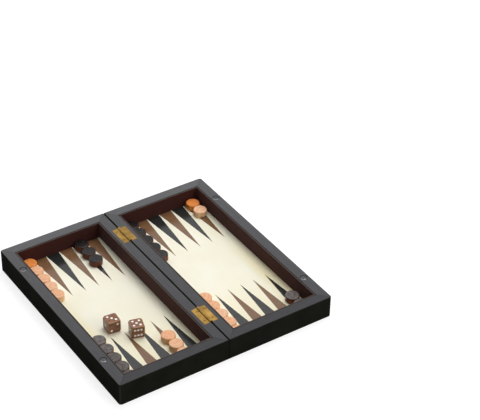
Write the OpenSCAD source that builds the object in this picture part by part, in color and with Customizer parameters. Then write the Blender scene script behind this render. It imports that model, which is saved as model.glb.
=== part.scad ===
// Folding games compendium: two shallow trays hinged at the rim.
// Open flat, the insides make a backgammon board and the outsides a chess board.
// Origin: under the fold, midway along it, on the surface that the board lies on.
// X runs across the fold, Y along the fold (the near end is negative), Z up.

/* [Chess face] */
// Side of one chess square
square_a = 27.5; // [22:0.5:34]
// Width of the light stringing round the squares
stringing_w = 2.8; // [1.5:0.1:5]
// Width of the dark border veneer
border_w = 12.2; // [8:0.1:18]
// Thickness of the veneers
veneer_t = 0.8; // [0.5:0.1:1.5]
// Knife cut left between neighbouring veneers
veneer_kerf = 0.1; // [0.05:0.01:0.2]

/* [Trays] */
// Height of one tray, which is half the closed box
tray_h = 25; // [20:0.5:32]
// Width of the four rails round a tray
rail_w = 12.5; // [11:0.5:16]
// Radius of the upright outer corners
corner_r = 3; // [1:0.5:6]
// Space from the middle of the fold to each tray
fold_gap = 0.25; // [0.15:0.05:0.5]
// How far each rim stops short of the hinge axis
rim_gap = 0.1; // [0.05:0.05:0.3]
// Thickness of the base panel
panel_t = 4.6; // [3:0.2:7]
// How far the base panel is let into the rails
rebate_w = 4; // [2:0.5:5]
// Clearance round the base panel
panel_fit = 0.1; // [0.05:0.05:0.3]
// Thickness of the wall lining
lining_t = 1; // [0.6:0.1:2]
// How far the lining stops below the rim
lining_drop = 0.2; // [0.1:0.1:2]

/* [Backgammon face] */
// Thickness of the playing field sheet
field_t = 0.6; // [0.5:0.1:1.2]
// Depth of the points let into the field
inlay_t = 0.3; // [0.1:0.05:0.4]
// Plain field beside the outermost points
field_margin = 2.2; // [0.5:0.1:6]
// Field left between two points at the wall
point_gap = 0.8; // [0.4:0.1:2]
// Space between the tips of the near and the far points
tip_space = 76; // [40:1:110]

/* [Checkers and dice] */
// How much narrower a checker is than a point
checker_slack = 0.6; // [0.3:0.1:3]
// Thickness of a checker
checker_t = 7; // [5:0.1:9]
// Rounding of a checker's edges
checker_round = 1; // [0.4:0.1:2]
// Space between checkers, and to the wall
checker_gap = 0.2; // [0.1:0.05:0.6]
// Edge of a die
die_a = 14; // [11:0.5:16]
// How far a die's corners are cut back by rounding
die_corner = 1.3; // [1:0.1:2.4]
// Chamfer along a die's edges
die_chamfer = 0.7; // [0.3:0.1:1.2]
// Diameter of a pip
pip_d = 2.4; // [1.6:0.1:2.8]
// Depth of a pip
pip_depth = 0.45; // [0.2:0.05:0.6]
// Distance of the outer pips from the middle of a face
pip_step = 3.3; // [2.8:0.1:3.6]

/* [Hinges] */
// Length of one hinge
hinge_len = 26; // [20:1:40]
// Distance of a hinge's middle from the end of the board
hinge_inset = 46; // [30:1:60]
// Reach of a leaf from the hinge axis
leaf_w = 8; // [6.5:0.5:9]
// Thickness of a leaf
leaf_t = 0.9; // [0.8:0.1:1.2]
// Fit of a leaf in its recess
leaf_fit = 0.1; // [0.05:0.05:0.3]
// Outer diameter of the knuckles
knuckle_d = 3.2; // [2.8:0.1:4]
// Space round the knuckles
knuckle_fit = 0.25; // [0.15:0.05:0.5]
// Space between one knuckle and the next
knuckle_gap = 0.15; // [0.1:0.05:0.3]
// Diameter of the hinge pin
pin_d = 1.6; // [1.2:0.1:1.8]
// Radial clearance of the pin in its knuckles
pin_fit = 0.05; // [0.02:0.01:0.1]
// Diameter of a screw's shank
screw_d = 1.6; // [1.2:0.1:2]
// Diameter of a screw's countersunk head
screw_head_d = 3; // [2.6:0.1:3.6]
// Length of a screw
screw_len = 7; // [5:0.5:10]
// Radial clearance round a screw
screw_fit = 0.05; // [0.02:0.01:0.1]

/* [Magnets] */
// Diameter of a closure magnet
magnet_d = 7; // [5:0.5:8]
// Thickness of a closure magnet
magnet_t = 3; // [2:0.5:6]
// Distance of a magnet from the end of the board
magnet_inset = 41.5; // [25:0.5:60]
// How far a magnet lies below the rim
magnet_drop = 0.1; // [0.05:0.05:0.3]
// Radial clearance of a magnet in its bore
magnet_fit = 0.05; // [0.02:0.01:0.15]

/* [Hidden] */
$fn = 48;
// Sides and ends are numbers, so that they can shift which of two colours comes first
RIGHT = 0;
LEFT = 1;
NEAR = 0;
FAR = 1;
COLUMNS = 4; // squares across one tray
ROWS = 8; // squares along one tray
POINTS = 6; // points at each end of a tray
KNUCKLES = 5;
eps = 0.01;

half_w = COLUMNS * square_a + stringing_w + border_w;
half_d = ROWS / 2 * square_a + stringing_w + border_w;
axis_z = tray_h;
rim_z = tray_h - rim_gap;
field_z = veneer_t + panel_t;
play_z = field_z + field_t;
wall_x0 = rail_w; // faces of the rails inside a tray
wall_x1 = half_w - rail_w;
wall_y = half_d - rail_w;
lined_x0 = wall_x0 + lining_t; // faces of the lining
lined_x1 = wall_x1 - lining_t;
lined_y = wall_y - lining_t;
tray_mid = (lined_x0 + lined_x1) / 2;

point_pitch = (lined_x1 - lined_x0 - 2 * field_margin) / POINTS;
tip_y = tip_space / 2;
checker_d = point_pitch - checker_slack;
checker_step = checker_d + checker_gap;

// Where each die lies: points counted from the fold, and how far past the near tips
die_1_point = 3.5;
die_1_past = 9.3;
die_1_turn = -6;
die_2_point = 2.4;
die_2_past = -10.5;
die_2_turn = -16;
// Numbers on the top, near and left faces; opposite faces add up to 7
die_1_faces = [3, 2, 1];
die_2_faces = [5, 6, 3];
// The ball that cuts a pip of the given diameter and depth
pip_ball_r = (pip_d * pip_d / 4 + pip_depth * pip_depth) / (2 * pip_depth);

hinge_y = half_d - hinge_inset;
knuckle_r = knuckle_d / 2;
knuckle_len = (hinge_len - (KNUCKLES - 1) * knuckle_gap) / KNUCKLES;
knuckle_step = knuckle_len + knuckle_gap;
screw_x = (knuckle_r + leaf_w) / 2;
screw_y = hinge_len / 2 - knuckle_len;
head_drop = 0.1; // a screw's head lies this far below the leaf
head_h = (screw_head_d - screw_d) / 2;
tip_h = 1.5; // the screw's point
tip_d = 0.4;
slot_w = 0.5; // the driver slot across its head
slot_h = 0.35;
magnet_x = half_w - rail_w / 2;
magnet_y = half_d - magnet_inset;

lacquer = "#242424";
plywood = "#b08d5b";
rosewood = "#4b2a20";
maple = "#f2dcae";
border_wood = "#5a3326";
cream = "#f4f1dc";
point_brown = "#7a6251";
point_grey = "#4a4d4d";
lining_brown = "#341a17";
light_wood = "#e6b98c";
dark_wood = "#4e3a35";
die_wood = "#6b3a26";
brass = "#b08a3e";
magnet_grey = "#6a6c70";

// Tray pieces are drawn for the right tray, and mirrored over the fold for the left.
module on_side(side) {
    if (side == LEFT) mirror([1, 0, 0]) children();
    else children();
}

// ---- Rails and base panel

// Plan of a tray, round at its two outer corners.
module tray_outline() {
    translate([fold_gap, -half_d]) square([half_w - corner_r - fold_gap, 2 * half_d]);
    translate([fold_gap, corner_r - half_d]) square([half_w - fold_gap, 2 * (half_d - corner_r)]);
    for (end = [-1, 1])
        translate([half_w - corner_r, end * (half_d - corner_r)]) circle(corner_r);
}

// Space for the base panel, from under the rails up into their rebate.
module panel_block(fit) {
    x0 = wall_x0 - rebate_w + fit;
    y1 = wall_y + rebate_w - fit;
    translate([x0, -y1, veneer_t])
        cube([wall_x1 + rebate_w - fit - x0, 2 * y1, panel_t]);
}

// A bar over the given plan, with the rebate cut along its foot.
module rail(plan) {
    difference() {
        translate([0, 0, veneer_t]) linear_extrude(rim_z - veneer_t) intersection() {
            polygon(plan);
            tray_outline();
        }
        panel_block(0);
        translate([0, 0, -panel_t / 2]) panel_block(0);
    }
}

// The near and far rails differ only in their end of the board, -1 or 1.
module end_rail(end) {
    color(lacquer) rail([
        [fold_gap, end * half_d], [half_w, end * half_d],
        [wall_x1, end * wall_y], [wall_x0, end * wall_y]
    ]);
}

module outer_rail() {
    color(lacquer) difference() {
        rail([[half_w, -half_d], [half_w, half_d], [wall_x1, wall_y], [wall_x1, -wall_y]]);
        at_magnets() translate([0, 0, -magnet_t])
            cylinder(h = magnet_t + magnet_drop + eps, r = magnet_d / 2 + magnet_fit);
    }
}

module fold_rail() {
    color(lacquer) difference() {
        rail([[fold_gap, -half_d], [fold_gap, half_d], [wall_x0, wall_y], [wall_x0, -wall_y]]);
        for (end = [-1, 1]) translate([0, end * hinge_y, 0]) hinge_recess();
    }
}

module base_panel() {
    color(plywood) panel_block(panel_fit);
}

// ---- Inside of a tray

module lining_strip(x0, x1, y0, y1) {
    translate([x0, y0, play_z]) cube([x1 - x0, y1 - y0, rim_z - lining_drop - play_z]);
}

module wall_lining() {
    color(lining_brown) {
        lining_strip(wall_x0, lined_x0, -wall_y, wall_y);
        lining_strip(lined_x1, wall_x1, -wall_y, wall_y);
        lining_strip(lined_x0 + veneer_kerf, lined_x1 - veneer_kerf, -wall_y, -lined_y);
        lining_strip(lined_x0 + veneer_kerf, lined_x1 - veneer_kerf, lined_y, wall_y);
    }
}

// Middle of a point, counted from the fold. Halves lie between two points.
function point_x(point) = tray_mid + (point - (POINTS - 1) / 2) * point_pitch;

// The colours alternate along X and swap from end to end and across the fold.
function is_first_colour(side, end, count) = (side + end + count) % 2 == 0;

module points(side, first_colour) {
    for (end = [NEAR, FAR], point = [0 : POINTS - 1])
        if (is_first_colour(side, end, point) == first_colour) {
            toward_wall = end == NEAR ? -1 : 1;
            base = (point_pitch - point_gap) / 2;
            translate([point_x(point), 0, play_z - inlay_t]) linear_extrude(inlay_t)
                polygon([
                    [-base, toward_wall * lined_y],
                    [base, toward_wall * lined_y],
                    [0, toward_wall * tip_y]
                ]);
        }
}

module playing_field(side) {
    color(cream) difference() {
        translate([wall_x0, -wall_y, field_z]) cube([wall_x1 - wall_x0, 2 * wall_y, field_t]);
        translate([0, 0, eps]) points(side, true);
        translate([0, 0, eps]) points(side, false);
        points(side, true);
        points(side, false);
    }
}

// ---- Chess face

module squares(side, dark) {
    for (column = [0 : COLUMNS - 1], row = [0 : ROWS - 1])
        if (is_first_colour(side, NEAR, column + row) == dark) {
            x0 = column == 0 ? fold_gap : column * square_a + veneer_kerf / 2;
            x1 = (column + 1) * square_a - veneer_kerf / 2;
            translate([x0, (row - ROWS / 2) * square_a + veneer_kerf / 2, 0])
                cube([x1 - x0, square_a - veneer_kerf, veneer_t]);
        }
}

// Strips along the three outer sides of a tray, cut apart at the mitres.
module veneer_band(inner_x, inner_y, band_w) {
    mitre_reach = 2 * band_w; // more than the length of a mitre
    difference() {
        linear_extrude(veneer_t) difference() {
            intersection() {
                translate([fold_gap, -inner_y - band_w])
                    square([inner_x + band_w - fold_gap, 2 * (inner_y + band_w)]);
                tray_outline();
            }
            translate([0, -inner_y]) square([inner_x, 2 * inner_y]);
        }
        for (end = [-1, 1])
            translate([inner_x, end * inner_y, -eps]) rotate([0, 0, end * 45])
                translate([-veneer_kerf, -veneer_kerf / 2, 0])
                    cube([veneer_kerf + mitre_reach, veneer_kerf, veneer_t + 2 * eps]);
    }
}

module stringing() {
    color(maple) veneer_band(COLUMNS * square_a, ROWS / 2 * square_a, stringing_w);
}

module border_veneer() {
    color(border_wood) veneer_band(half_w - border_w, half_d - border_w, border_w);
}

// ---- Closure magnets

module at_magnets() {
    for (end = [-1, 1])
        translate([magnet_x, end * magnet_y, rim_z - magnet_drop]) children();
}

module closure_magnets() {
    color(magnet_grey) at_magnets()
        translate([0, 0, -magnet_t]) cylinder(h = magnet_t, d = magnet_d);
}

// ---- Checkers

module checker() {
    rotate_extrude() {
        square([checker_d / 2 - checker_round, checker_t]);
        translate([0, checker_round])
            square([checker_d / 2, checker_t - 2 * checker_round]);
        for (z = [checker_round, checker_t - checker_round])
            translate([checker_d / 2 - checker_round, z]) circle(checker_round);
    }
}

// A file of checkers on one point, from the wall inwards.
module checker_file(end, point, count) {
    toward_wall = end == NEAR ? -1 : 1;
    for (place = [0 : count - 1])
        translate([
            point_x(point),
            toward_wall * (lined_y - checker_gap - checker_d / 2 - place * checker_step),
            play_z
        ]) checker();
}

// ---- Dice

module pip_row(offsets) {
    for (at = offsets)
        translate([at[0] * pip_step, at[1] * pip_step, die_a / 2 + pip_ball_r - pip_depth])
            sphere(pip_ball_r);
}

// Pips of one number on the top face of a die centred on the origin.
module pips(number) {
    if (number % 2 == 1) pip_row([[0, 0]]);
    if (number > 1) pip_row([[-1, 1], [1, -1]]);
    if (number > 3) pip_row([[1, 1], [-1, -1]]);
    if (number == 6) pip_row([[0, 1], [0, -1]]);
}

module die_body() {
    ball_r = die_a / 2 * sqrt(3) - die_corner;
    beam = die_a * sqrt(2) - 2 * die_chamfer / sqrt(2);
    intersection() {
        cube(die_a, center = true);
        sphere(ball_r, $fn = 2 * $fn);
        rotate([0, 0, 45]) cube([beam, beam, 2 * die_a], center = true);
        rotate([0, 45, 0]) cube([beam, 2 * die_a, beam], center = true);
        rotate([45, 0, 0]) cube([2 * die_a, beam, beam], center = true);
    }
}

// faces holds the numbers on the top, near and left faces.
module die(faces, place, turn) {
    color(die_wood) translate([place[0], place[1], play_z + die_a / 2]) rotate([0, 0, turn])
        difference() {
            die_body();
            pips(faces[0]);
            rotate([180, 0, 0]) pips(7 - faces[0]);
            rotate([90, 0, 0]) mirror([1, 0, 0]) pips(faces[1]);
            rotate([-90, 0, 0]) pips(7 - faces[1]);
            rotate([0, -90, 0]) pips(faces[2]);
            rotate([0, 90, 0]) pips(7 - faces[2]);
        }
}

// ---- Hinges, drawn round Y = 0

module hinge_rod(r, y0, y1) {
    translate([0, y1, axis_z]) rotate([90, 0, 0]) cylinder(h = y1 - y0, r = r);
}

module knuckles(first, grow_r, grow_len) {
    for (k = [first : 2 : KNUCKLES - 1]) {
        y0 = k * knuckle_step - hinge_len / 2;
        hinge_rod(knuckle_r + grow_r, y0 - grow_len, y0 + knuckle_len + grow_len);
    }
}

module hinge_recess() {
    reach_y = hinge_len / 2 + leaf_fit;
    translate([0, -reach_y, rim_z - leaf_t])
        cube([leaf_w + leaf_fit, 2 * reach_y, leaf_t + rim_gap]);
    hinge_rod(knuckle_r + knuckle_fit, -reach_y, reach_y);
    at_screws() screw_space();
}

// A leaf has every other knuckle, and stands back from those between.
module leaf(first_knuckle) {
    color(brass) difference() {
        union() {
            translate([0, -hinge_len / 2, rim_z - leaf_t]) cube([leaf_w, hinge_len, leaf_t]);
            knuckles(first_knuckle, 0, 0);
        }
        knuckles(1 - first_knuckle, knuckle_fit, knuckle_gap);
        hinge_rod(pin_d / 2 + pin_fit, -hinge_len, hinge_len);
        at_screws() screw_space();
    }
}

module hinge_pin() {
    color(brass) hinge_rod(pin_d / 2, -hinge_len / 2, hinge_len / 2);
}

module at_screws() {
    for (end = [-1, 1])
        translate([screw_x, end * screw_y, rim_z - head_drop]) children();
}

module screw_space() {
    r = screw_d / 2 + screw_fit;
    translate([0, 0, -screw_len]) cylinder(h = screw_len, r = r);
    translate([0, 0, -head_h]) cylinder(h = head_h, r1 = r, r2 = screw_head_d / 2 + screw_fit);
    cylinder(h = head_drop + rim_gap, r = screw_head_d / 2 + screw_fit);
}

module screw() {
    difference() {
        union() {
            translate([0, 0, -head_h]) cylinder(h = head_h, d1 = screw_d, d2 = screw_head_d);
            translate([0, 0, tip_h - screw_len]) cylinder(h = screw_len - tip_h, d = screw_d);
            translate([0, 0, -screw_len]) cylinder(h = tip_h, d1 = tip_d, d2 = screw_d);
        }
        translate([-screw_head_d, -slot_w / 2, -slot_h])
            cube([2 * screw_head_d, slot_w, slot_h + eps]);
    }
}

module hinge_screws() {
    color(brass) for (end = [-1, 1]) translate([0, end * hinge_y, 0]) at_screws() screw();
}

module left_leaf(end) {
    translate([0, end * hinge_y, 0]) on_side(LEFT) leaf(0);
}

module right_leaf(end) {
    translate([0, end * hinge_y, 0]) on_side(RIGHT) leaf(1);
}

// ---- The nodes

on_side(LEFT) outer_rail();  // left_outer_rail
on_side(LEFT) fold_rail();  // left_fold_rail
on_side(LEFT) end_rail(-1);  // left_near_rail
on_side(LEFT) end_rail(1);  // left_far_rail
on_side(LEFT) base_panel();  // left_base_panel
on_side(LEFT) wall_lining();  // left_wall_lining
on_side(LEFT) playing_field(LEFT);  // left_playing_field
color(point_brown) on_side(LEFT) points(LEFT, true);  // left_brown_points
color(point_grey) on_side(LEFT) points(LEFT, false);  // left_grey_points
color(rosewood) on_side(LEFT) squares(LEFT, true);  // left_dark_squares
color(maple) on_side(LEFT) squares(LEFT, false);  // left_light_squares
on_side(LEFT) stringing();  // left_stringing
on_side(LEFT) border_veneer();  // left_border_veneer
on_side(LEFT) closure_magnets();  // left_closure_magnets
color(light_wood) on_side(LEFT) {  // left_light_checkers
    checker_file(FAR, 5, 5);
    checker_file(NEAR, 1, 3);
}
color(dark_wood) on_side(LEFT) {  // left_dark_checkers
    checker_file(NEAR, 5, 5);
    checker_file(FAR, 1, 3);
}

outer_rail();  // right_outer_rail
fold_rail();  // right_fold_rail
end_rail(-1);  // right_near_rail
end_rail(1);  // right_far_rail
base_panel();  // right_base_panel
wall_lining();  // right_wall_lining
playing_field(RIGHT);  // right_playing_field
color(point_brown) points(RIGHT, true);  // right_brown_points
color(point_grey) points(RIGHT, false);  // right_grey_points
color(rosewood) squares(RIGHT, true);  // right_dark_squares
color(maple) squares(RIGHT, false);  // right_light_squares
stringing();  // right_stringing
border_veneer();  // right_border_veneer
closure_magnets();  // right_closure_magnets
color(light_wood) {  // right_light_checkers
    checker_file(NEAR, 0, 5);
    checker_file(FAR, 5, 2);
}
color(dark_wood) {  // right_dark_checkers
    checker_file(FAR, 0, 5);
    checker_file(NEAR, 5, 2);
}

left_leaf(-1);  // near_hinge_left_leaf
right_leaf(-1);  // near_hinge_right_leaf
translate([0, -hinge_y, 0]) hinge_pin();  // near_hinge_pin
left_leaf(1);  // far_hinge_left_leaf
right_leaf(1);  // far_hinge_right_leaf
translate([0, hinge_y, 0]) hinge_pin();  // far_hinge_pin
on_side(LEFT) hinge_screws();  // left_hinge_screws
hinge_screws();  // right_hinge_screws

die(die_1_faces, [-point_x(die_1_point), die_1_past - tip_y], die_1_turn);  // die_1
die(die_2_faces, [-point_x(die_2_point), die_2_past - tip_y], die_2_turn);  // die_2
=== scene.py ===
"""The folding games compendium, dressed: open flat with its backgammon side up, on a pale floor."""
import math
import random

import bmesh
import bpy
from mathutils import Matrix, Vector


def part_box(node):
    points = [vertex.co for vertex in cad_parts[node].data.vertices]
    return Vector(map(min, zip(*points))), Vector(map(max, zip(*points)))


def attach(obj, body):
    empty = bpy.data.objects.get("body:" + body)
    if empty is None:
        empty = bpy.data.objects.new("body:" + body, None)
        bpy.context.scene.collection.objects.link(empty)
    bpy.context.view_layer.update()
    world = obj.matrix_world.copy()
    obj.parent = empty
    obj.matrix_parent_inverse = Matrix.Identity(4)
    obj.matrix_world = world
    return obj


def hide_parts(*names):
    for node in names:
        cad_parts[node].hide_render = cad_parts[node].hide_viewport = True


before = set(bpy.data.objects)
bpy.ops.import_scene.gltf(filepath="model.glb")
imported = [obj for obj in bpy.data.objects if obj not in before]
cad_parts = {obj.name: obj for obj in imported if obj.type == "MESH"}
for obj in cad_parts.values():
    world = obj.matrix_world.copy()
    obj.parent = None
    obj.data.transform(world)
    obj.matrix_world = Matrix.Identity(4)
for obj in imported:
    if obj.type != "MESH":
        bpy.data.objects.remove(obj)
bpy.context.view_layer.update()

MM = 0.001
SIDE_SIGN = {"left": -1, "right": 1}
HINGES = ("near", "far")
random_draw = random.Random(20)

# ---- Sizes of the box, from the frame

fold_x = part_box("right_fold_rail")[0].x
inner_x0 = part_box("right_fold_rail")[1].x
inner_x1, outer_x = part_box("right_outer_rail")[0].x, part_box("right_outer_rail")[1].x
inner_y, outer_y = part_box("right_far_rail")[0].y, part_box("right_far_rail")[1].y
foot_z, rim_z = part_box("right_outer_rail")[0].z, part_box("right_outer_rail")[1].z
field_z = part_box("right_playing_field")[0].z
border_in_x, border_in_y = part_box("right_stringing")[1].x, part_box("right_stringing")[1].y
axis_z = (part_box("near_hinge_pin")[0].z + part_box("near_hinge_pin")[1].z) / 2
knuckle_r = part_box("near_hinge_left_leaf")[1].z - axis_z

# ---- Sizes of the box that its frame doesn't give

COLUMNS = 4  # chess squares across one tray
CORNER_R = 3.0 * MM  # upright outer corners, in plan
REBATE_W = 4.0 * MM  # how far the base panel is let into the rails
VENEER_KERF = 0.1 * MM
LEAF_T = 0.9 * MM
LEAF_FIT, KNUCKLE_FIT, MAGNET_FIT = 0.1 * MM, 0.25 * MM, 0.05 * MM
CHECKER_ROUND = 1.0 * MM

# ---- Sizes that only the finish has

FOLD_CORNER_R = 0.8 * MM  # upright corners at the fold, in plan
RIM_ARRIS = INNER_ARRIS = 0.8 * MM  # the rims' edges, outside and inside
BORDER_ARRIS = 0.6 * MM
VENEER_EASE = 0.08 * MM  # where two veneers meet
MITRE_V = 0.18 * MM  # half the width, and the depth, of the hairline groove at a mitre
MITRE_GAP = 0.01 * MM  # from that groove to the mitre itself
LINING_ROUND = 0.12 * MM
MAGNET_BEVEL = 0.6 * MM
CUTTER_EASE = 0.01 * MM
CAD_WELD, STRIP_WELD = 0.005 * MM, 0.003 * MM  # vertices closer than this become one
CURVE_STEPS = 4  # in the quarter turn of a rounded edge
ROUND_SIDES, CHECKER_SIDES, KNUCKLE_SIDES = 40, 48, 32
SMOOTH_BELOW = math.radians(38)  # edges that turn less than this are shaded round
TREE_MM = 400  # each piece of wood comes from its own place in a block of this size
TONES = (0.6, 1.0)  # from the deepest to the palest piece of one wood
FAR_PAINTED_SHADE = 0.85  # painted shade: how much darker the tops of the dark checkers on the far half are drawn


# ---- Nodes and colours

def linear(hex_colour):
    """An sRGB hex colour as the linear colour that a shader takes."""
    parts = [int(hex_colour[i:i + 2], 16) / 255 for i in (1, 3, 5)]
    return [c / 12.92 if c <= 0.04045 else ((c + 0.055) / 1.055) ** 2.4 for c in parts] + [1]


def add(tree, kind, out=0, links=None, stops=(), **settings):
    """Add a shader node and give back one output. A link is a socket, a value or a hex colour."""
    node = tree.nodes.new("ShaderNode" + kind)
    for name, value in settings.items():
        setattr(node, name, value)
    for key, value in (links or {}).items():
        if isinstance(value, bpy.types.NodeSocket):
            tree.links.new(value, node.inputs[key])
        else:
            node.inputs[key].default_value = linear(value) if isinstance(value, str) else value
    for number, (place, colour) in enumerate(stops):
        elements = node.color_ramp.elements  # a new ramp has two stops already
        stop = elements[number] if number < 2 else elements.new(place)
        stop.position, stop.color = place, linear(colour)
    return node.outputs[out] if len(node.outputs) else node


def material(name, finish):
    """A material whose shader is made by finish in an empty node tree."""
    made = bpy.data.materials.new(name)
    made.use_nodes = True
    made.node_tree.nodes.clear()
    add(made.node_tree, "OutputMaterial", links={"Surface": finish(made.node_tree)})
    return made


def own_mm(tree, x=1, y=1, z=1):
    """The piece's own coordinates in millimetres, each stretched by its factor."""
    place = add(tree, "TexCoord", "Object")
    return add(tree, "Mapping", 0, {"Vector": place, "Scale": (x / MM, y / MM, z / MM)})


def grain_mm(tree, along=1, across=1, depth=1):
    """Millimetres along and across the grain of each separate piece of wood."""
    place = add(tree, "Attribute", "Vector", attribute_name="grain")
    return add(tree, "Mapping", 0, {"Vector": place, "Scale": (along, across, depth)})


def toned(tree, colour, deepest):
    """The colour, tinted where its tone is 0, as it is at 1. The tone is each wood's own; on the rims it
    holds painted sheen, and on some checkers painted shade.
    """
    tone = add(tree, "Attribute", "Fac", attribute_name="tone")
    tint = add(tree, "ValToRGB", "Color", {"Fac": tone}, [(0.0, deepest), (1.0, "#ffffff")])
    return add(tree, "Mix", 2, {0: 1.0, 6: colour, 7: tint}, data_type="RGBA", blend_type="MULTIPLY")


def seen_directly(tree):
    """1 to the camera, in reflections and through clear pieces, and 0 for the light that is cast."""
    camera_ray, glossy_ray, clear_ray = [add(tree, "LightPath", name) for name in (
        "Is Camera Ray", "Is Glossy Ray", "Is Transmission Ray")]
    seen = add(tree, "Math", 0, {0: camera_ray, 1: glossy_ray}, operation="MAXIMUM")
    return add(tree, "Math", 0, {0: seen, 1: clear_ray}, operation="MAXIMUM")


# ---- Finishes. A noise reads from about 0.3 to 0.7, so ramps and ranges start and end there.

def sprayed_satin_lacquer(tree):
    """Black lacquer sprayed on beech: near black, the grain just felt, and a painted highlight on the
    upright corners.
    """
    grain = add(tree, "TexNoise", "Fac", {"Vector": own_mm(tree, 0.6, 0.6, 2.2), "Scale": 0.9, "Detail": 5})
    cloud = add(tree, "TexNoise", "Fac", {"Vector": own_mm(tree), "Scale": 0.05})
    colour = add(tree, "ValToRGB", "Color", {"Fac": cloud}, [(0.35, "#21221d"), (0.65, "#272822")])
    # Painted highlight: the rounded upright corners, where the normal lies between x and y, are drawn paler.
    facing = add(tree, "TexCoord", "Normal")
    across = add(tree, "SeparateXYZ", "X", {0: facing})
    along = add(tree, "SeparateXYZ", "Y", {0: facing})
    corner = add(tree, "Math", 0, {0: across, 1: along}, operation="MULTIPLY")
    corner = add(tree, "Math", 0, {0: corner}, operation="ABSOLUTE")
    painted_highlight = add(tree, "MapRange", 0, {"Value": corner, 1: 0.3, 2: 0.5, 3: 0.0, 4: 0.8})
    colour = add(tree, "Mix", 2, {0: painted_highlight, 6: colour, 7: "#4a4b48"}, data_type="RGBA")
    rough = add(tree, "MapRange", 0, {"Value": grain, 1: 0.3, 2: 0.7, 3: 0.4, 4: 0.5})
    relief = add(tree, "Bump", 0, {"Height": grain, "Distance": 0.05 * MM, "Strength": 0.25})
    return add(tree, "BsdfPrincipled", 0, {
        "Base Color": colour, "Roughness": rough, "Specular IOR Level": 0.001, "Normal": relief})


def rim_lacquer_painted_sheen(tree):
    """The same lacquer where the rims meet, drawn a powdery dark grey with fine scuffs: the grey is a
    painted sheen.
    """
    speck = add(tree, "TexNoise", "Fac", {
        "Vector": own_mm(tree), "Scale": 1.6, "Detail": 4, "Roughness": 0.7})
    scuff = add(tree, "TexNoise", "Fac", {"Vector": grain_mm(tree, along=0.05), "Scale": 1.2, "Detail": 4})
    # Painted sheen: these greys stand in for the light that the flat rims catch; the specks and scuffs are
    # texture.
    powder = add(tree, "ValToRGB", "Color", {"Fac": speck}, [(0.3, "#565658"), (0.7, "#666769")])
    lines = add(tree, "ValToRGB", "Color", {"Fac": scuff}, [(0.3, "#515153"), (0.7, "#69696b")])
    colour = add(tree, "Mix", 2, {0: 0.5, 6: powder, 7: lines}, data_type="RGBA")
    rough = add(tree, "MapRange", 0, {"Value": speck, 1: 0.3, 2: 0.7, 3: 0.5, 4: 0.62})
    relief = add(tree, "Bump", 0, {"Height": speck, "Distance": 0.04 * MM, "Strength": 0.3})
    # Painted sheen: the tone draws the grey deeper on the near rails and paler towards the far end.
    return add(tree, "BsdfPrincipled", 0, {
        "Base Color": toned(tree, colour, "#b2b2b4"), "Roughness": rough, "Specular IOR Level": 0.12,
        "Normal": relief})


def cream_lacquered_sheet(tree):
    """Cream lacquer on thin sheet: smooth, faintly clouded, a low sheen.

    It is drawn a deeper yellow near the front, and along the outer walls, where it is painted shade that
    fades towards the far end.
    Those places are in mm from the middle of the box."""
    cloud = add(tree, "TexNoise", "Fac", {"Vector": own_mm(tree), "Scale": 0.03, "Detail": 2})
    fibre = add(tree, "TexNoise", "Fac", {"Vector": own_mm(tree, y=0.25), "Scale": 1.6, "Detail": 4})
    tint = add(tree, "ValToRGB", "Color", {"Fac": cloud}, [(0.3, "#f0ecd6"), (0.7, "#f5f3e3")])
    amount = add(tree, "MapRange", 0, {"Value": fibre, 1: 0.3, 2: 0.7, 3: 0.0, 4: 0.35})
    colour = add(tree, "Mix", 2, {0: amount, 6: tint, 7: "#ece5c8"}, data_type="RGBA")
    along = add(tree, "SeparateXYZ", "Y", {0: own_mm(tree)})
    across = add(tree, "SeparateXYZ", "X", {0: own_mm(tree)})
    across = add(tree, "Math", 0, {0: across}, operation="ABSOLUTE")
    # Deeper yellow towards the front; along the outer walls the yellow is painted shade, fading towards the
    # far end.
    front = add(tree, "MapRange", 0, {"Value": along, 1: -115.0, 2: -20.0, 3: 0.6, 4: 0.0})
    wall = add(tree, "MapRange", 0, {"Value": across, 1: 91.0, 2: 99.0, 3: 0.0, 4: 1.0})
    fading = add(tree, "MapRange", 0, {"Value": along, 1: -25.0, 2: 45.0, 3: 0.7, 4: 0.1})
    wall = add(tree, "Math", 0, {0: wall, 1: fading}, operation="MULTIPLY")
    yellow_and_painted_shade = add(tree, "Math", 0, {0: front, 1: wall}, operation="MAXIMUM")
    colour = add(tree, "Mix", 2, {0: yellow_and_painted_shade, 6: colour, 7: "#ece0b2"}, data_type="RGBA")
    rough = add(tree, "MapRange", 0, {"Value": fibre, 1: 0.3, 2: 0.7, 3: 0.4, 4: 0.5})
    relief = add(tree, "Bump", 0, {"Height": fibre, "Distance": 0.02 * MM, "Strength": 0.3})
    return add(tree, "BsdfPrincipled", 0, {"Base Color": colour, "Roughness": rough, "Normal": relief})


def stained_inlay(dark, light):
    """Stained and lacquered sheet let into the field: deep colour that mirrors the walls or the sky."""
    def finish(tree):
        fibre = add(tree, "TexNoise", "Fac", {
            "Vector": own_mm(tree, y=0.08), "Scale": 1.5, "Detail": 5})
        colour = add(tree, "ValToRGB", "Color", {"Fac": fibre}, [(0.3, dark), (0.7, light)])
        rough = add(tree, "MapRange", 0, {"Value": fibre, 1: 0.3, 2: 0.7, 3: 0.16, 4: 0.25})
        relief = add(tree, "Bump", 0, {"Height": fibre, "Distance": 0.01 * MM, "Strength": 0.3})
        return add(tree, "BsdfPrincipled", 0, {
            "Base Color": colour, "Roughness": rough, "Specular IOR Level": 0.6, "Normal": relief})
    return finish


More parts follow.
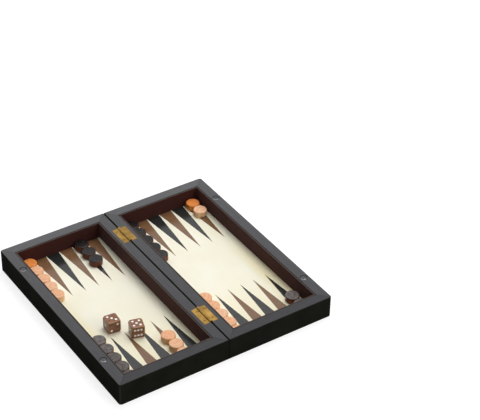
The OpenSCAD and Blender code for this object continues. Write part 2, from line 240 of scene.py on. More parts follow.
def flocked_paper(tree):
    """Flocked paper: a short dark brown pile that drinks light and glows at grazing angles."""
    # The real pile is about 0.1 mm; it is drawn four times as coarse, so that it shows.
    pile = add(tree, "TexNoise", "Fac", {
        "Vector": own_mm(tree), "Scale": 2.5, "Detail": 4, "Roughness": 0.75})
    cloud = add(tree, "TexNoise", "Fac", {"Vector": own_mm(tree), "Scale": 0.08})
    tips = add(tree, "ValToRGB", "Color", {"Fac": pile}, [(0.3, "#240f0c"), (0.7, "#56291f")])
    amount = add(tree, "MapRange", 0, {"Value": cloud, 1: 0.3, 2: 0.7, 3: 0.2, 4: 0.6})
    colour = add(tree, "Mix", 2, {0: amount, 6: tips, 7: "#3a1a16"}, data_type="RGBA")
    relief = add(tree, "Bump", 0, {"Height": pile, "Distance": 0.25 * MM, "Strength": 0.8})
    return add(tree, "BsdfPrincipled", 0, {
        "Base Color": colour, "Roughness": 0.9, "Specular IOR Level": 0.15, "Sheen Weight": 0.08,
        "Sheen Roughness": 0.5, "Normal": relief})


def board_edge(tree):
    """The cut edge of the lining board: bare brown fibres."""
    fibre = add(tree, "TexNoise", "Fac", {"Vector": own_mm(tree), "Scale": 1.8, "Detail": 4})
    colour = add(tree, "ValToRGB", "Color", {"Fac": fibre}, [(0.3, "#3d2f2b"), (0.7, "#56443f")])
    relief = add(tree, "Bump", 0, {"Height": fibre, "Distance": 0.08 * MM, "Strength": 0.5})
    return add(tree, "BsdfPrincipled", 0, {"Base Color": colour, "Roughness": 0.8, "Normal": relief})


def lacquered_veneer(stops, streak, streak_amount, deepest):
    """Sliced veneer under satin lacquer: bands, dark streaks and pores beneath an even low sheen."""
    def finish(tree):
        bands = add(tree, "TexNoise", "Fac", {
            "Vector": grain_mm(tree, along=0.05), "Scale": 0.2, "Detail": 4, "Distortion": 0.35})
        lines = add(tree, "TexNoise", "Fac", {
            "Vector": grain_mm(tree, along=0.02), "Scale": 0.4, "Detail": 4, "Distortion": 0.2})
        # Real pores are about 0.1 mm wide; they are drawn three times as wide, so that they show.
        pores = add(tree, "TexNoise", "Fac", {"Vector": grain_mm(tree, along=0.12), "Scale": 2.8})
        wood = add(tree, "ValToRGB", "Color", {"Fac": bands}, stops)
        dark = add(tree, "MapRange", 0, {"Value": lines, 1: 0.45, 2: 0.66, 3: 0.0, 4: streak_amount})
        wood = add(tree, "Mix", 2, {0: dark, 6: wood, 7: streak}, data_type="RGBA")
        open_pores = add(tree, "MapRange", 0, {"Value": pores, 1: 0.55, 2: 0.72, 3: 0.0, 4: 0.4})
        wood = add(tree, "Mix", 2, {0: open_pores, 6: wood, 7: streak}, data_type="RGBA")
        relief = add(tree, "Bump", 0, {"Height": pores, "Distance": 0.03 * MM, "Strength": 0.35})
        return add(tree, "BsdfPrincipled", 0, {
            "Base Color": toned(tree, wood, deepest), "Roughness": 0.46, "Specular IOR Level": 0.12,
            "Normal": relief})
    return finish


def turned_waxed_wood(ends, sides, dull, mirror):
    """Dowel sliced, turned and waxed: growth rings cross the flat faces, and the sides are redder.

    ends and sides each hold a dark colour, a light one and the tint of the deepest tone."""
    def finish(tree):
        own = grain_mm(tree, depth=0.12)
        # Real rings are about 1 mm apart; they are drawn four times as wide, so that they show.
        rings = add(tree, "TexWave", "Fac", {
            "Vector": own, "Scale": 0.06, "Distortion": 7.0, "Detail": 4, "Detail Scale": 0.5},
            wave_type="RINGS", rings_direction="Z")
        fleck = add(tree, "TexNoise", "Fac", {"Vector": own, "Scale": 0.4, "Detail": 5, "Roughness": 0.65})
        fine = add(tree, "MapRange", 0, {"Value": fleck, 1: 0.3, 2: 0.7})
        figure = add(tree, "Mix", 0, {0: 0.65, 2: rings, 3: fine}, data_type="FLOAT")
        side, end = [
            toned(tree, add(tree, "Mix", 2, {0: figure, 6: dark, 7: light}, data_type="RGBA"), deepest)
            for dark, light, deepest in (sides, ends)]
        facing = add(tree, "SeparateXYZ", "Z", {0: add(tree, "TexCoord", "Normal")})
        flat = add(tree, "Math", 0, {0: facing}, operation="ABSOLUTE")
        share = add(tree, "MapRange", 0, {"Value": flat, 1: 0.3, 2: 0.7})
        wood = add(tree, "Mix", 2, {0: share, 6: side, 7: end}, data_type="RGBA")
        rough = add(tree, "MapRange", 0, {"Value": fleck, 1: 0.3, 2: 0.7, 3: dull - 0.05, 4: dull + 0.08})
        relief = add(tree, "Bump", 0, {"Height": fleck, "Distance": 0.05 * MM, "Strength": 0.35})
        return add(tree, "BsdfPrincipled", 0, {
            "Base Color": wood, "Roughness": rough, "Specular IOR Level": mirror, "Normal": relief})
    return finish


def tumbled_hardwood(tree):
    """Reddish hardwood cubes, tumbled and polished: dark pores, a clear gloss and a painted highlight on the
    rounded edges.
    """
    grain = add(tree, "TexNoise", "Fac", {
        "Vector": own_mm(tree, x=0.16), "Scale": 0.7, "Detail": 5, "Distortion": 0.3})
    fleck = add(tree, "TexNoise", "Fac", {"Vector": own_mm(tree, x=0.3), "Scale": 3.2, "Detail": 3})
    wood = add(tree, "ValToRGB", "Color", {"Fac": grain},
               [(0.3, "#6a3b20"), (0.5, "#7f4c2a"), (0.72, "#96643c")])
    pores = add(tree, "MapRange", 0, {"Value": fleck, 1: 0.55, 2: 0.7, 3: 0.0, 4: 0.3})
    wood = add(tree, "Mix", 2, {0: pores, 6: wood, 7: "#3f1a0d"}, data_type="RGBA")
    # Painted highlight: the rounded edges are drawn paler.
    painted_highlight = add(tree, "Attribute", "Fac", attribute_name="painted_highlight")
    wood = add(tree, "Mix", 2, {0: painted_highlight, 6: wood, 7: "#b88358"}, data_type="RGBA")
    rough = add(tree, "MapRange", 0, {"Value": grain, 1: 0.3, 2: 0.7, 3: 0.24, 4: 0.34})
    relief = add(tree, "Bump", 0, {"Height": fleck, "Distance": 0.03 * MM, "Strength": 0.3})
    return add(tree, "BsdfPrincipled", 0, {
        "Base Color": wood, "Roughness": rough, "Specular IOR Level": 0.55, "Normal": relief})


def dropped_enamel(tree):
    """White enamel dropped into the drilled pips: bright, slightly uneven, with a wet gloss."""
    cloud = add(tree, "TexNoise", "Fac", {"Vector": own_mm(tree), "Scale": 1.2})
    colour = add(tree, "ValToRGB", "Color", {"Fac": cloud}, [(0.3, "#efeae2"), (0.7, "#fdfbf7")])
    return add(tree, "BsdfPrincipled", 0, {"Base Color": colour, "Roughness": 0.3})


def brushed_brass(tree):
    """Stamped brass, brushed along the hinge: fine scratches draw the highlights out."""
    scratch = add(tree, "TexNoise", "Fac", {"Vector": own_mm(tree, y=0.02), "Scale": 3.0, "Detail": 4})
    tarnish = add(tree, "TexNoise", "Fac", {"Vector": own_mm(tree), "Scale": 0.12})
    colour = add(tree, "ValToRGB", "Color", {"Fac": tarnish}, [(0.3, "#7a5f2f"), (0.7, "#9a7a40")])
    rough = add(tree, "MapRange", 0, {"Value": scratch, 1: 0.3, 2: 0.7, 3: 0.38, 4: 0.5})
    relief = add(tree, "Bump", 0, {"Height": scratch, "Distance": 0.01 * MM, "Strength": 0.3})
    return add(tree, "BsdfPrincipled", 0, {
        "Base Color": colour, "Metallic": 1.0, "Roughness": rough, "Normal": relief})


def misted_nickel(tree):
    """A magnet's nickel face under lacquer mist: nearly as dark as the rim round it."""
    mist = add(tree, "TexNoise", "Fac", {"Vector": own_mm(tree), "Scale": 0.8, "Detail": 4})
    colour = add(tree, "ValToRGB", "Color", {"Fac": mist}, [(0.3, "#333435"), (0.7, "#46474a")])
    rough = add(tree, "MapRange", 0, {"Value": mist, 1: 0.3, 2: 0.7, 3: 0.3, 4: 0.45})
    relief = add(tree, "Bump", 0, {"Height": mist, "Distance": 0.03 * MM, "Strength": 0.3})
    return add(tree, "BsdfPrincipled", 0, {
        "Base Color": colour, "Metallic": 0.5, "Roughness": rough, "Normal": relief})


def bare_nickel(tree):
    """The plated edge of a magnet, wiped clean: bright, with slight scratches."""
    scratch = add(tree, "TexNoise", "Fac", {"Vector": own_mm(tree), "Scale": 2.0})
    colour = add(tree, "ValToRGB", "Color", {"Fac": scratch}, [(0.3, "#8d8e90"), (0.7, "#b4b5b6")])
    rough = add(tree, "MapRange", 0, {"Value": scratch, 1: 0.3, 2: 0.7, 3: 0.2, 4: 0.35})
    return add(tree, "BsdfPrincipled", 0, {"Base Color": colour, "Metallic": 1.0, "Roughness": rough})


def sanded_plywood(tree):
    """Birch plywood, sanded: pale fibres and thin darker plies."""
    plies = add(tree, "TexWave", "Fac", {"Vector": own_mm(tree), "Scale": 0.35, "Distortion": 0.4},
                bands_direction="Z")
    fibre = add(tree, "TexNoise", "Fac", {"Vector": own_mm(tree, y=0.1), "Scale": 1.4})
    wood = add(tree, "ValToRGB", "Color", {"Fac": plies}, [(0.2, "#a37e4d"), (0.8, "#c9a873")])
    amount = add(tree, "MapRange", 0, {"Value": fibre, 1: 0.3, 2: 0.7, 3: 0.0, 4: 0.3})
    wood = add(tree, "Mix", 2, {0: amount, 6: wood, 7: "#8f6c40"}, data_type="RGBA")
    return add(tree, "BsdfPrincipled", 0, {"Base Color": wood, "Roughness": 0.7})


lacquer = material("satin black lacquer, sprayed", sprayed_satin_lacquer)
rim_lacquer = material("black lacquer, painted sheen", rim_lacquer_painted_sheen)
cream = material("cream lacquered sheet", cream_lacquered_sheet)
brown_inlay = material("brown stained inlay", stained_inlay("#6d4e34", "#846145"))
grey_inlay = material("grey stained inlay", stained_inlay("#1f2121", "#2b2d2c"))
flock = material("dark brown flocked paper", flocked_paper)
lining_edge = material("cut edge of lining board", board_edge)
rosewood = material("rosewood veneer, lacquered", lacquered_veneer(
    [(0.3, "#2b1510"), (0.45, "#4f2a1c"), (0.58, "#6a3824"), (0.72, "#7e442b")], "#170b09", 0.95, "#a5948c"))
maple = material("maple veneer, lacquered", lacquered_veneer(
    [(0.3, "#f6daab"), (0.5, "#f9e0b5"), (0.7, "#fbe6c1")], "#ecca96", 0.18, "#f7f2ea"))
border_wood = material("rosewood border veneer, lacquered", lacquered_veneer(
    [(0.3, "#3a1c14"), (0.45, "#552c1f"), (0.58, "#6b3826"), (0.72, "#854a34")], "#24110d", 0.7, "#c8bab4"))
# The orange tint of the deepest light wood is also painted warm shade on the checker by the far left corner.
light_wood = material("boxwood, turned and waxed", turned_waxed_wood(
    ("#dfa983", "#f3cba8", "#fabb70"), ("#e6b988", "#fbdcb2", "#fabb70"), 0.45, 0.3))
# The deepest tint of the dark ends is also painted shade on the far checkers.
dark_wood = material("dark-stained wood, turned and waxed", turned_waxed_wood(
    ("#463f3d", "#7c7572", "#524d4e"), ("#542815", "#7a4320", "#ffffff"), 0.28, 0.24))
die_wood = material("reddish hardwood, tumbled", tumbled_hardwood)
enamel = material("white enamel", dropped_enamel)
brass = material("brass, brushed", brushed_brass)
nickel_face = material("nickel plate, misted", misted_nickel)
nickel_edge = material("nickel plate, bare", bare_nickel)
plywood = material("birch plywood, sanded", sanded_plywood)


# ---- Making pieces

def new_shape():
    """An empty mesh with the attributes that the woods read: grain in mm, and tone from 0 to 1."""
    shape = bmesh.new()
    return shape, shape.verts.layers.float_vector.new("grain"), shape.verts.layers.float.new("tone")


def smooth(piece):
    """Shade the rounded edges smooth and the flat faces flat."""
    piece.data.polygons.foreach_set("use_smooth", [True] * len(piece.data.polygons))
    piece.data.set_sharp_from_angle(angle=SMOOTH_BELOW)
    piece.modifiers.new("Even shading", "WEIGHTED_NORMAL").keep_sharp = True


def to_object(name, shape, materials):
    """An object in the scene with the mesh of a shape, which is used up."""
    bmesh.ops.recalc_face_normals(shape, faces=shape.faces)
    mesh = bpy.data.meshes.new(name)
    shape.to_mesh(mesh)
    shape.free()
    for finish in materials:
        mesh.materials.append(finish)
    made = bpy.data.objects.new(name, mesh)
    bpy.context.scene.collection.objects.link(made)
    return made


def carve(piece, shape, operation="DIFFERENCE"):
    """Cut a closed bmesh out of a piece, or keep only what is inside it."""
    cutter = to_object("cutter", shape, piece.data.materials)
    cut = piece.modifiers.new("Cut", "BOOLEAN")
    cut.operation, cut.solver, cut.object = operation, "EXACT", cutter
    bpy.context.view_layer.update()
    piece.data = bpy.data.meshes.new_from_object(
        piece.evaluated_get(bpy.context.evaluated_depsgraph_get()))
    piece.modifiers.clear()
    bpy.data.objects.remove(cutter)


def finished(piece, body, slot, *nodes):
    """The piece is shaded, rides on a body, and stands for CAD nodes, which are hidden. The slot is not
    used.
    """
    smooth(piece)
    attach(piece, body)
    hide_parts(*nodes)


def solids_of(node):
    """The lowest and highest corner of each separate solid in a CAD node, in a fixed order."""
    shape = bmesh.new()
    shape.from_mesh(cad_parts[node].data)
    bmesh.ops.remove_doubles(shape, verts=shape.verts, dist=CAD_WELD)
    shape.verts.index_update()
    seen, boxes = set(), []
    for start in shape.verts:
        if start.index in seen:
            continue
        seen.add(start.index)
        waiting, corners = [start], []
        while waiting:
            vertex = waiting.pop()
            corners.append(vertex.co.copy())
            for other in (edge.other_vert(vertex) for edge in vertex.link_edges):
                if other.index not in seen:
                    seen.add(other.index)
                    waiting.append(other)
        boxes.append((Vector(map(min, *corners)), Vector(map(max, *corners))))
    shape.free()
    return sorted(boxes, key=lambda box: (round(box[0].x, 4), round(box[0].y, 4)))


def skin(shape, rings, surfaces=None):
    """Join closed rings of vertices with quads, and cap the first and the last ring."""
    count = len(rings[0])
    for before, after in zip(rings, rings[1:]):
        for i in range(count):
            j = (i + 1) % count
            face = shape.faces.new((before[i], before[j], after[j], after[i]))
            face.material_index = surfaces[i] if surfaces else 0
    shape.faces.new(rings[0])
    shape.faces.new(rings[-1])
    return [vertex for ring in rings for vertex in ring]


def turned(shape, centre, outline, sides=ROUND_SIDES, surface_of=None):
    """Turn an outline of (radius, height) round an upright axis, with flat ends."""
    rings = [[shape.verts.new(centre + Vector((r * math.cos(turn), r * math.sin(turn), z)))
              for turn in (2 * math.pi * k / sides for k in range(sides))] for r, z in outline]
    before = set(shape.faces)
    vertices = skin(shape, rings)
    if surface_of:
        for face in set(shape.faces) - before:
            face.material_index = surface_of(face)
    return vertices


def edge_arc(radius, steps):
    """(inset, drop) pairs of a rounded edge, from the side to the face."""
    turns = [math.pi / 2 * step / steps for step in range(steps + 1)]
    return [(radius * (1 - math.cos(turn)), radius * (1 - math.sin(turn))) for turn in turns]


def eased_slab(shape, lo, hi, ease, up=1, steps=2):
    """A block whose upper face has rounded edges, or its lower face for up=-1."""
    face_z, back_z = (hi.z, lo.z) if up > 0 else (lo.z, hi.z)
    levels = [(0, back_z)] + [(inset, face_z - up * drop) for inset, drop in edge_arc(ease, steps)]
    rings = [[shape.verts.new((x, y, z)) for x, y in (
        (lo.x + inset, lo.y + inset), (hi.x - inset, lo.y + inset),
        (hi.x - inset, hi.y - inset), (lo.x + inset, hi.y - inset))] for inset, z in levels]
    return skin(shape, rings)


def set_grain(vertices, layers, along, across, tone):
    """Write the grain of one piece of wood: its own place in the tree, and its own tone."""
    grain, shade = layers
    start = Vector([random_draw.uniform(0, TREE_MM) for _ in range(3)])
    for vertex in vertices:
        vertex[grain] = Vector((vertex.co.dot(along), vertex.co.dot(across), vertex.co.z)) / MM + start
        vertex[shade] = tone


# ---- Strips round a tray: rails, border and stringing

RUNS = {"near": (0, 1), "outer": (1, 2), "far": (2, 3), "fold": (3, 0)}  # from corner to corner
RIM_SHEEN_TONE = {"near": 0.05, "outer": 0.5, "far": 0.85, "fold": 0.4}  # painted sheen: how pale each rim's grey is drawn, palest at the far rail
RIM_SHEEN_FURTHER = 0.2  # painted sheen: how much paler the grey is at the far end than in the middle
DIRECTION = {"near": Vector((1, 0, 0)), "outer": Vector((0, 1, 0)),
             "far": Vector((-1, 0, 0)), "fold": Vector((0, -1, 0))}
INWARD = [Vector((1, 1)), Vector((-1, 1)), Vector((-1, -1)), Vector((1, -1))]
FOLD_CORNERS = (0, 3)


def rectangle(x0, x1, y):
    """The corners of an outline: near fold, near outer, far outer and far fold."""
    return [Vector((x0, -y)), Vector((x1, -y)), Vector((x1, y)), Vector((x0, y))]


def round_corner(outlines, corner, share, zone, inset):
    """The tip of a corner in plan, and a place share of the way round it."""
    outer, inner, radii = outlines
    if zone == "inner":
        return inner[corner], inner[corner] - INWARD[corner] * inset
    radius = radii[corner]
    if inset > radius:
        return outer[corner], outer[corner] + INWARD[corner] * inset
    turn = math.radians(180 + 90 * (corner + share))
    centre = outer[corner] + INWARD[corner] * radius
    return outer[corner], centre + Vector((math.cos(turn), math.sin(turn))) * (radius - inset)


def add_strip(shape, layers, outlines, run, profile, sign, open_fold=False, tone=1.0):
    """Sweep a profile along one run, with a hairline groove at its mitres.

    outlines is (outer, inner, radii). A profile point is (zone, inset, z, surface)."""
    low, high = min(p[2] for p in profile), max(p[2] for p in profile)
    along = DIRECTION[run]
    inward = Vector((-along.y, along.x))

    def station(corner, share, groove, clear, sense):
        """A ring at one place round a corner, at least clear away from the mitre."""
        ring = []
        for zone, inset, z, _ in profile:
            tip, flat = round_corner(outlines, corner, share, zone, max(inset, groove))
            x, y = flat
            if open_fold and corner in FOLD_CORNERS:
                x = tip.x
            else:
                away = (flat - tip).dot(along.xy * sense - inward)
                x, y = flat + along.xy * sense * max(0.0, clear - away)
            ring.append(Vector((x, y, min(max(z, low + groove), high - groove))))
        return ring

    def corner_rings(corner, sense):
        """The rings from a corner's mitre, or from the open fold, into the run."""
        if open_fold and corner in FOLD_CORNERS:
            return [station(corner, 0.5, 0.0, 0.0, sense)]
        shares = [0.5 + sense * 0.5 * step / CURVE_STEPS for step in range(CURVE_STEPS + 1)]
        return [station(corner, 0.5, MITRE_V, MITRE_GAP, sense)] + [
            station(corner, share, 0.0, MITRE_V, sense) for share in shares]

    rings = corner_rings(RUNS[run][0], 1) + corner_rings(RUNS[run][1], -1)[::-1]
    rings = [[shape.verts.new((p.x * sign, p.y, p.z)) for p in ring] for ring in rings]
    skin(shape, rings, [p[3] for p in profile])
    own = [vertex for ring in rings for vertex in ring]
    set_grain(own, layers, along, inward.to_3d(), tone)
    bmesh.ops.remove_doubles(shape, verts=own, dist=STRIP_WELD)
    # A cut can lose an end cap that has many corners, so the caps are split into triangles.
    bmesh.ops.triangulate(shape, faces=[face for face in shape.faces if len(face.verts) > 4])


def climbing(zone, radius, face_z, up=1, surface=0):
    """Profile points of a rounded edge, from the side to the face."""
    return [(zone, inset, face_z - up * drop, surface) for inset, drop in edge_arc(radius, CURVE_STEPS)]


box_outline = rectangle(fold_x, outer_x, outer_y)
rail_outlines = (box_outline, rectangle(inner_x0, inner_x1, inner_y),
                 [FOLD_CORNER_R, CORNER_R, CORNER_R, FOLD_CORNER_R])
rim_edge = climbing("outer", RIM_ARRIS, rim_z)
rim_edge[-1] = ("outer", RIM_ARRIS, rim_z, 1)  # the flat of the rim starts here, and takes the rim lacquer with its painted sheen
rail_profile = [("outer", 0, foot_z, 0)] + rim_edge + climbing("inner", INNER_ARRIS, rim_z)[::-1] + [
    ("inner", 0, field_z, 0), ("inner", REBATE_W, field_z, 0), ("inner", REBATE_W, foot_z, 0)]

square_a = (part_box("right_light_squares")[1].x + VENEER_KERF / 2) / COLUMNS
border_inner = rectangle(fold_x, border_in_x, border_in_y)
border_outlines = (box_outline, border_inner, [0, CORNER_R, CORNER_R, 0])
squares_half = COLUMNS * square_a  # a tray is as many squares across as its half is along
stringing_outlines = (border_inner, rectangle(fold_x, squares_half, squares_half), [0, 0, 0, 0])
inner_ease = climbing("inner", VENEER_EASE, 0, up=-1)[::-1] + [("inner", 0, foot_z, 0)]
border_profile = [("outer", 0, foot_z, 0)] + climbing("outer", BORDER_ARRIS, 0, up=-1) + inner_ease
stringing_profile = [("outer", 0, foot_z, 0)] + climbing("outer", VENEER_EASE, 0, up=-1) + inner_ease


def hinge_cutters(side):
    """The leaf recesses and the knuckle trough that a fold rail is cut for."""
    sign = SIDE_SIGN[side]
    trough_r = knuckle_r + KNUCKLE_FIT
    recess, _, _ = new_shape()
    trough, _, _ = new_shape()
    for end in HINGES:
        lo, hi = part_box(f"{end}_hinge_{side}_leaf")
        reach = max(abs(lo.x), abs(hi.x)) + LEAF_FIT
        x0, x1 = sorted((-sign * LEAF_FIT, sign * reach))
        eased_slab(recess, Vector((x0, lo.y - LEAF_FIT, rim_z - LEAF_T)),
                   Vector((x1, hi.y + LEAF_FIT, rim_z + MM)), CUTTER_EASE)
        half_length = (hi.y - lo.y) / 2 + LEAF_FIT
        rod = turned(trough, Vector((0, 0, 0)), [
            (trough_r, -half_length), (trough_r, half_length)], KNUCKLE_SIDES)
        turn = Matrix.Translation((0, (lo.y + hi.y) / 2, axis_z)) @ Matrix.Rotation(math.pi / 2, 4, "X")
        bmesh.ops.transform(trough, matrix=turn, verts=rod)
    return recess, trough


def magnet_bores(side):
    """Bores that flare out at the rim, so that their edge is slightly broken."""
    flare_z, flare = -0.1 * MM, 0.6 * MM  # where it starts, from the magnet's face, and its rise
    bores, _, _ = new_shape()
    for lo, hi in solids_of(f"{side}_closure_magnets"):
        r, middle = (hi.x - lo.x) / 2 + MAGNET_FIT, (lo + hi) / 2
        turned(bores, Vector((middle.x, middle.y, hi.z)), [
            (r, lo.z - hi.z - MAGNET_FIT), (r, flare_z), (r + flare, flare_z + flare)])
    return bores


def make_rails(side):
    """Four mitred rails, cut for the hinges and the magnets."""
    for run, along in DIRECTION.items():
        shape, *layers = new_shape()
        add_strip(shape, layers, rail_outlines, run, rail_profile, SIDE_SIGN[side])
        rail = to_object(f"{side}_{run}_rail_lacquered", shape, [lacquer, rim_lacquer])
        if run == "fold":
            for cutter in hinge_cutters(side):
                carve(rail, cutter)
        if run == "outer":
            carve(rail, magnet_bores(side))
        shape = bmesh.new()  # the vertices that a cut makes have no grain, so all of it is written again
        shape.from_mesh(rail.data)
        layers = shape.verts.layers.float_vector["grain"], shape.verts.layers.float["tone"]
        # Painted sheen: each rim's tone sets how pale its grey is drawn, paler towards the far end.
        set_grain(shape.verts, layers, along, Vector((-along.y, along.x, 0)), RIM_SHEEN_TONE[run])
        for vertex in shape.verts:
            vertex[layers[1]] += RIM_SHEEN_FURTHER * vertex.co.y / outer_y
        shape.to_mesh(rail.data)
        shape.free()
        finished(rail, f"{side}_tray", "black_lacquer", f"{side}_{run}_rail")


def make_veneers(side):
    """The border and stringing round the squares, and the squares, each with its own grain."""
    for part, profile, outlines, wood, slot in (
            ("border_veneer", border_profile, border_outlines, border_wood, "border_rosewood"),
            ("stringing", stringing_profile, stringing_outlines, maple, "maple")):
        shape, *layers = new_shape()
        for run in ("near", "outer", "far"):
            add_strip(shape, layers, outlines, run, profile, SIDE_SIGN[side], True,
                      random_draw.uniform(*TONES))
        veneer = to_object(f"{side}_{part}_lacquered", shape, [wood])
        finished(veneer, f"{side}_tray", slot, f"{side}_{part}")
    for part, wood, slot in (("dark_squares", rosewood, "rosewood"), ("light_squares", maple, "maple")):
        shape, *layers = new_shape()
        for lo, hi in solids_of(f"{side}_{part}"):
            set_grain(eased_slab(shape, lo, hi, VENEER_EASE, up=-1), layers,
                      Vector((1, 0, 0)), Vector((0, 1, 0)), random_draw.random())
        veneer = to_object(f"{side}_{part}_lacquered", shape, [wood])
        finished(veneer, f"{side}_tray", slot, f"{side}_{part}")


def make_lining(side):
    """Strips of flocked board, whose upper edge shows the bare board."""
    shape, _, _ = new_shape()
    for lo, hi in solids_of(f"{side}_wall_lining"):
        eased_slab(shape, lo, hi, LINING_ROUND)
        for face in shape.faces:
            if face.calc_center_median().z > hi.z - LINING_ROUND / 2:
                face.material_index = 1
    finished(to_object(f"{side}_wall_lining_flocked", shape, [flock, lining_edge]),
             f"{side}_tray", "wall_flock", f"{side}_wall_lining")


def make_magnets(side):
    """Discs with a bright bevelled edge round a misted face, which has more than four corners."""
    shape, _, _ = new_shape()
    for lo, hi in solids_of(f"{side}_closure_magnets"):
        r, middle, depth = (hi.x - lo.x) / 2, (lo + hi) / 2, lo.z - hi.z
        turned(shape, Vector((middle.x, middle.y, hi.z)),
               [(r, depth), (r, -MAGNET_BEVEL), (r - MAGNET_BEVEL, 0)],
               surface_of=lambda face: 0 if len(face.verts) > 4 else 1)
    finished(to_object(f"{side}_closure_magnets_plated", shape, [nickel_face, nickel_edge]),
             f"{side}_tray", "magnet_nickel", f"{side}_closure_magnets")


def make_checkers(side, shade, wood, slot):
    """Each checker is cut from its own place in the dowel and turned its own way."""
    node = f"{side}_{shade}_checkers"
    boxes = solids_of(node)
    warm_shade_place = max(boxes, key=lambda box: box[0].y - box[0].x)[0]  # the light checker nearest the far left corner, drawn most orange: painted warm shade
    shape, *layers = new_shape()
    for lo, hi in boxes:
        r, height = (hi.x - lo.x) / 2, hi.z - lo.z
        middle = Vector(((lo.x + hi.x) / 2, (lo.y + hi.y) / 2, lo.z))
        arc = edge_arc(CHECKER_ROUND, CURVE_STEPS)
        outline = [(r - inset, drop) for inset, drop in arc[::-1]] + [
            (r - inset, height - drop) for inset, drop in arc]
        vertices = turned(shape, middle, outline, CHECKER_SIDES)
        # The checker's place in its dowel, in mm: off the heart, to a side of it, and along it.
        heart = Vector((random_draw.uniform(2, 9), random_draw.uniform(-3, 3), random_draw.uniform(0, 90)))
        spin = Matrix.Rotation(random_draw.uniform(0, 2 * math.pi), 3, "Z")
        tone = random_draw.uniform(*TONES)
        # Painted warm shade: the light checker by the far left corner gets the deepest, most orange tone.
        if shade == "light" and lo == warm_shade_place:
            tone = 0.0
        # Painted shade: the dark checkers on the far half, by the far wall, get darker tops.
        if shade == "dark" and middle.y > 0:
            tone -= FAR_PAINTED_SHADE
        for vertex in vertices:
            vertex[layers[0]] = spin @ ((vertex.co - middle) / MM) + heart
            vertex[layers[1]] = tone
    finished(to_object(f"{node}_turned", shape, [wood]), f"{side}_tray", slot, node)


# ---- Dice

DIE_TURN = {"die_1": -6, "die_2": -16}  # degrees, about the upright axis
DIE_FACES = {"die_1": (3, 2, 1), "die_2": (5, 6, 3)}  # on the top, near and left faces
DIE_EDGE = 0.8 * MM
EDGE_HIGHLIGHT = 0.45  # how much paler the rounded edges are drawn, a painted highlight
DIE_CORNER = 1.3 * MM  # how far the corners are cut back
SQUARE_ON = 0.99  # a face that faces an axis more squarely than this is one of the six flats
BALL_STEPS, PIP_STEPS = 32, 28  # how finely the balls that cut the corners and the pips are made
PIP_D, PIP_DEPTH, PIP_PITCH = 2.6 * MM, 0.32 * MM, 3.3 * MM
PIP_PLACES = {  # one way across for each number
    1: [(0, 0)],
    2: [(-1, 1), (1, -1)],
    3: [(0, 0), (-1, 1), (1, -1)],
    4: [(-1, 1), (1, -1), (1, 1), (-1, -1)],
    5: [(0, 0), (-1, 1), (1, -1), (1, 1), (-1, -1)],
    6: [(-1, 1), (1, -1), (1, 1), (-1, -1), (0, 1), (0, -1)]}


def pip_cutter(faces, size, place):
    """A ball for each pip. Opposite faces add up to seven."""
    ball_r = (PIP_D ** 2 / 4 + PIP_DEPTH ** 2) / (2 * PIP_DEPTH)
    top, near, left = faces
    mirror_x = Matrix.Diagonal((-1, 1, 1, 1))
    sides = [(top, Matrix.Identity(4)), (7 - top, Matrix.Rotation(math.pi, 4, "X")),
             (near, Matrix.Rotation(math.pi / 2, 4, "X") @ mirror_x),
             (7 - near, Matrix.Rotation(-math.pi / 2, 4, "X")),
             (left, Matrix.Rotation(-math.pi / 2, 4, "Y")), (7 - left, Matrix.Rotation(math.pi / 2, 4, "Y"))]
    shape, _, _ = new_shape()
    for number, turn in sides:
        for x, y in PIP_PLACES[number]:
            at = Matrix.Translation((x * PIP_PITCH, y * PIP_PITCH, size / 2 + ball_r - PIP_DEPTH))
            bmesh.ops.create_uvsphere(shape, u_segments=PIP_STEPS, v_segments=PIP_STEPS, radius=ball_r,
                                      matrix=place @ turn @ at)
    for face in shape.faces:
        face.material_index = 1
    return shape


def make_die(node):
    """A cube with rounded edges and cut corners, drilled and painted."""
    lo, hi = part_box(node)
    size = hi.z - lo.z
    place = Matrix.Translation((lo + hi) / 2) @ Matrix.Rotation(math.radians(DIE_TURN[node]), 4, "Z")
    shape, _, _ = new_shape()
    bmesh.ops.create_cube(shape, size=size, matrix=place)
    bmesh.ops.bevel(shape, geom=shape.edges[:], offset=DIE_EDGE, segments=CURVE_STEPS, profile=0.5,
                    affect="EDGES")
    die = to_object(f"{node}_polished", shape, [die_wood, enamel])
    corner_reach = size / 2 * math.sqrt(3)
    ball, _, _ = new_shape()
    bmesh.ops.create_uvsphere(ball, u_segments=3 * BALL_STEPS, v_segments=2 * BALL_STEPS,
                              radius=corner_reach - DIE_CORNER, matrix=place)
    carve(die, ball, "INTERSECT")
    carve(die, pip_cutter(DIE_FACES[node], size, place))
    # Painted highlight on the rounded edges, the faces that face no axis squarely.
    own_axes = place.to_3x3().transposed()
    painted_highlight = die.data.attributes.new("painted_highlight", "FLOAT", "FACE")
    for face, share in zip(die.data.polygons, painted_highlight.data):
        rounded = max(abs(part) for part in own_axes @ face.normal) < SQUARE_ON
        share.value = EDGE_HIGHLIGHT if rounded else 0.0
    finished(die, node, "die_wood", node)


# ---- The part

for side in SIDE_SIGN:
    make_rails(side)
    make_veneers(side)
    make_lining(side)
    make_magnets(side)
    make_checkers(side, "light", light_wood, "light_boxwood")
    make_checkers(side, "dark", dark_wood, "dark_stained_wood")
for die_node in DIE_TURN:
    make_die(die_node)

kept_nodes = {}  # the pieces that keep their form, and their finish
for side in SIDE_SIGN:
    kept_nodes.update({
        f"{side}_base_panel": plywood, f"{side}_playing_field": cream, f"{side}_brown_points": brown_inlay,
        f"{side}_grey_points": grey_inlay, f"{side}_hinge_screws": brass})
for end in HINGES:
    for part in ("left_leaf", "right_leaf", "pin"):
        kept_nodes[f"{end}_hinge_{part}"] = brass
for node, finish in kept_nodes.items():
    for material_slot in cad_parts[node].material_slots:
        material_slot.material = finish


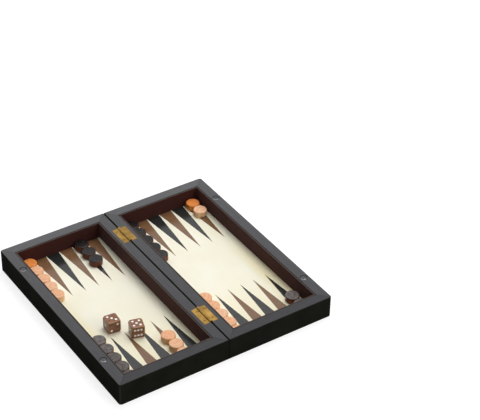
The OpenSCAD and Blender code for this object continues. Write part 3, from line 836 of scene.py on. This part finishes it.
# ---- Floor, light and camera

FLOOR_HALF, FLOOR_DROP = 4.0, 0.05 * MM  # it lies a hair lower than the box, so that no faces meet
# How light the sky is: it leans to one side, because the photograph is darker to the left of the box.
SKY_LEAN, SKY_LEVEL, SKY_LEAST = (0.24, -0.04, 0.32), 0.18, 0.03


def white_floor(tree):
    """Matt paper: white to the camera and in reflections, and it keeps the object's shadow.

    Far from the box, where the lamps fall off, it is lifted all the way to white."""
    away = add(tree, "VectorMath", "Value", {0: add(tree, "TexCoord", "Object")}, operation="LENGTH")
    lift = add(tree, "MapRange", 0, {"Value": away, 1: 0.45, 2: 1.2, 3: 0.8, 4: 1.0})
    lift = add(tree, "Math", 0, {0: seen_directly(tree), 1: lift}, operation="MULTIPLY")
    paper = add(tree, "BsdfDiffuse", 0, {"Color": "#9c9c9c"})
    glow = add(tree, "Emission", 0, {"Color": "#ffffff", "Strength": lift})
    return add(tree, "AddShader", 0, {0: paper, 1: glow})


floor_shape, _, _ = new_shape()
bmesh.ops.create_grid(floor_shape, x_segments=1, y_segments=1, size=FLOOR_HALF,
                      matrix=Matrix.Translation((0, 0, -FLOOR_DROP)))
floor = to_object("floor", floor_shape, [material("matt white paper", white_floor)])

world = bpy.data.worlds.new("studio")
bpy.context.scene.world = world
world.use_nodes = True
world.node_tree.nodes.clear()
sky = world.node_tree
way = add(sky, "TexCoord", "Generated")
ambient = add(sky, "VectorMath", "Value", {0: way, 1: SKY_LEAN}, operation="DOT_PRODUCT")
ambient = add(sky, "Math", 0, {0: ambient, 1: SKY_LEVEL}, operation="ADD")
ambient = add(sky, "Math", 0, {0: ambient, 1: SKY_LEAST}, operation="MAXIMUM")
strength = add(sky, "Mix", 0, {0: seen_directly(sky), 2: ambient, 3: 1.0}, data_type="FLOAT")
backdrop = add(sky, "Background", 0, {"Color": "#ffffff", "Strength": strength})
add(sky, "OutputWorld", links={"Surface": backdrop})


def softbox(name, place, size, power):
    """A round diffused lamp, size metres across, that points at the middle of the box."""
    data = bpy.data.lights.new(name, "AREA")
    data.shape, data.size, data.energy = "DISK", size, power
    lamp = bpy.data.objects.new(name, data)
    lamp.location = place
    lamp.rotation_euler = (-Vector(place)).to_track_quat("-Z", "Y").to_euler()
    bpy.context.scene.collection.objects.link(lamp)


softbox("key_softbox", (0.42, 0.25, 1.25), 0.9, 10.0)
softbox("fill_softbox", (0.6, -1.2, 0.8), 1.0, 5.0)
softbox("back_softbox", (0.1, 1.7, 1.0), 0.8, 5.0)

# The camera stands where the photograph's camera stood, to the left of the near side.
AZIMUTH, ELEVATION, ROLL = math.radians(-34.31), math.radians(36.11), math.radians(1.18)
DISTANCE, TARGET = 1.7914, Vector((0.1479, 0.0783, 0.0))
FOCAL_PIXELS, IMAGE_WIDTH = 1601.7, 480

back = Vector((math.sin(AZIMUTH) * math.cos(ELEVATION), -math.cos(AZIMUTH) * math.cos(ELEVATION),
               math.sin(ELEVATION)))
level = Vector((math.cos(AZIMUTH), math.sin(AZIMUTH), 0))
right = level * math.cos(ROLL) + back.cross(level) * math.sin(ROLL)
camera = bpy.data.objects.new("camera", bpy.data.cameras.new("camera"))
bpy.context.scene.collection.objects.link(camera)
camera.matrix_world = Matrix.Translation(TARGET + back * DISTANCE) @ Matrix(
    (right, back.cross(right), back)).transposed().to_4x4()
camera.data.lens = FOCAL_PIXELS / IMAGE_WIDTH * camera.data.sensor_width
bpy.context.scene.camera = camera
bpy.context.scene.view_settings.view_transform = "Standard"
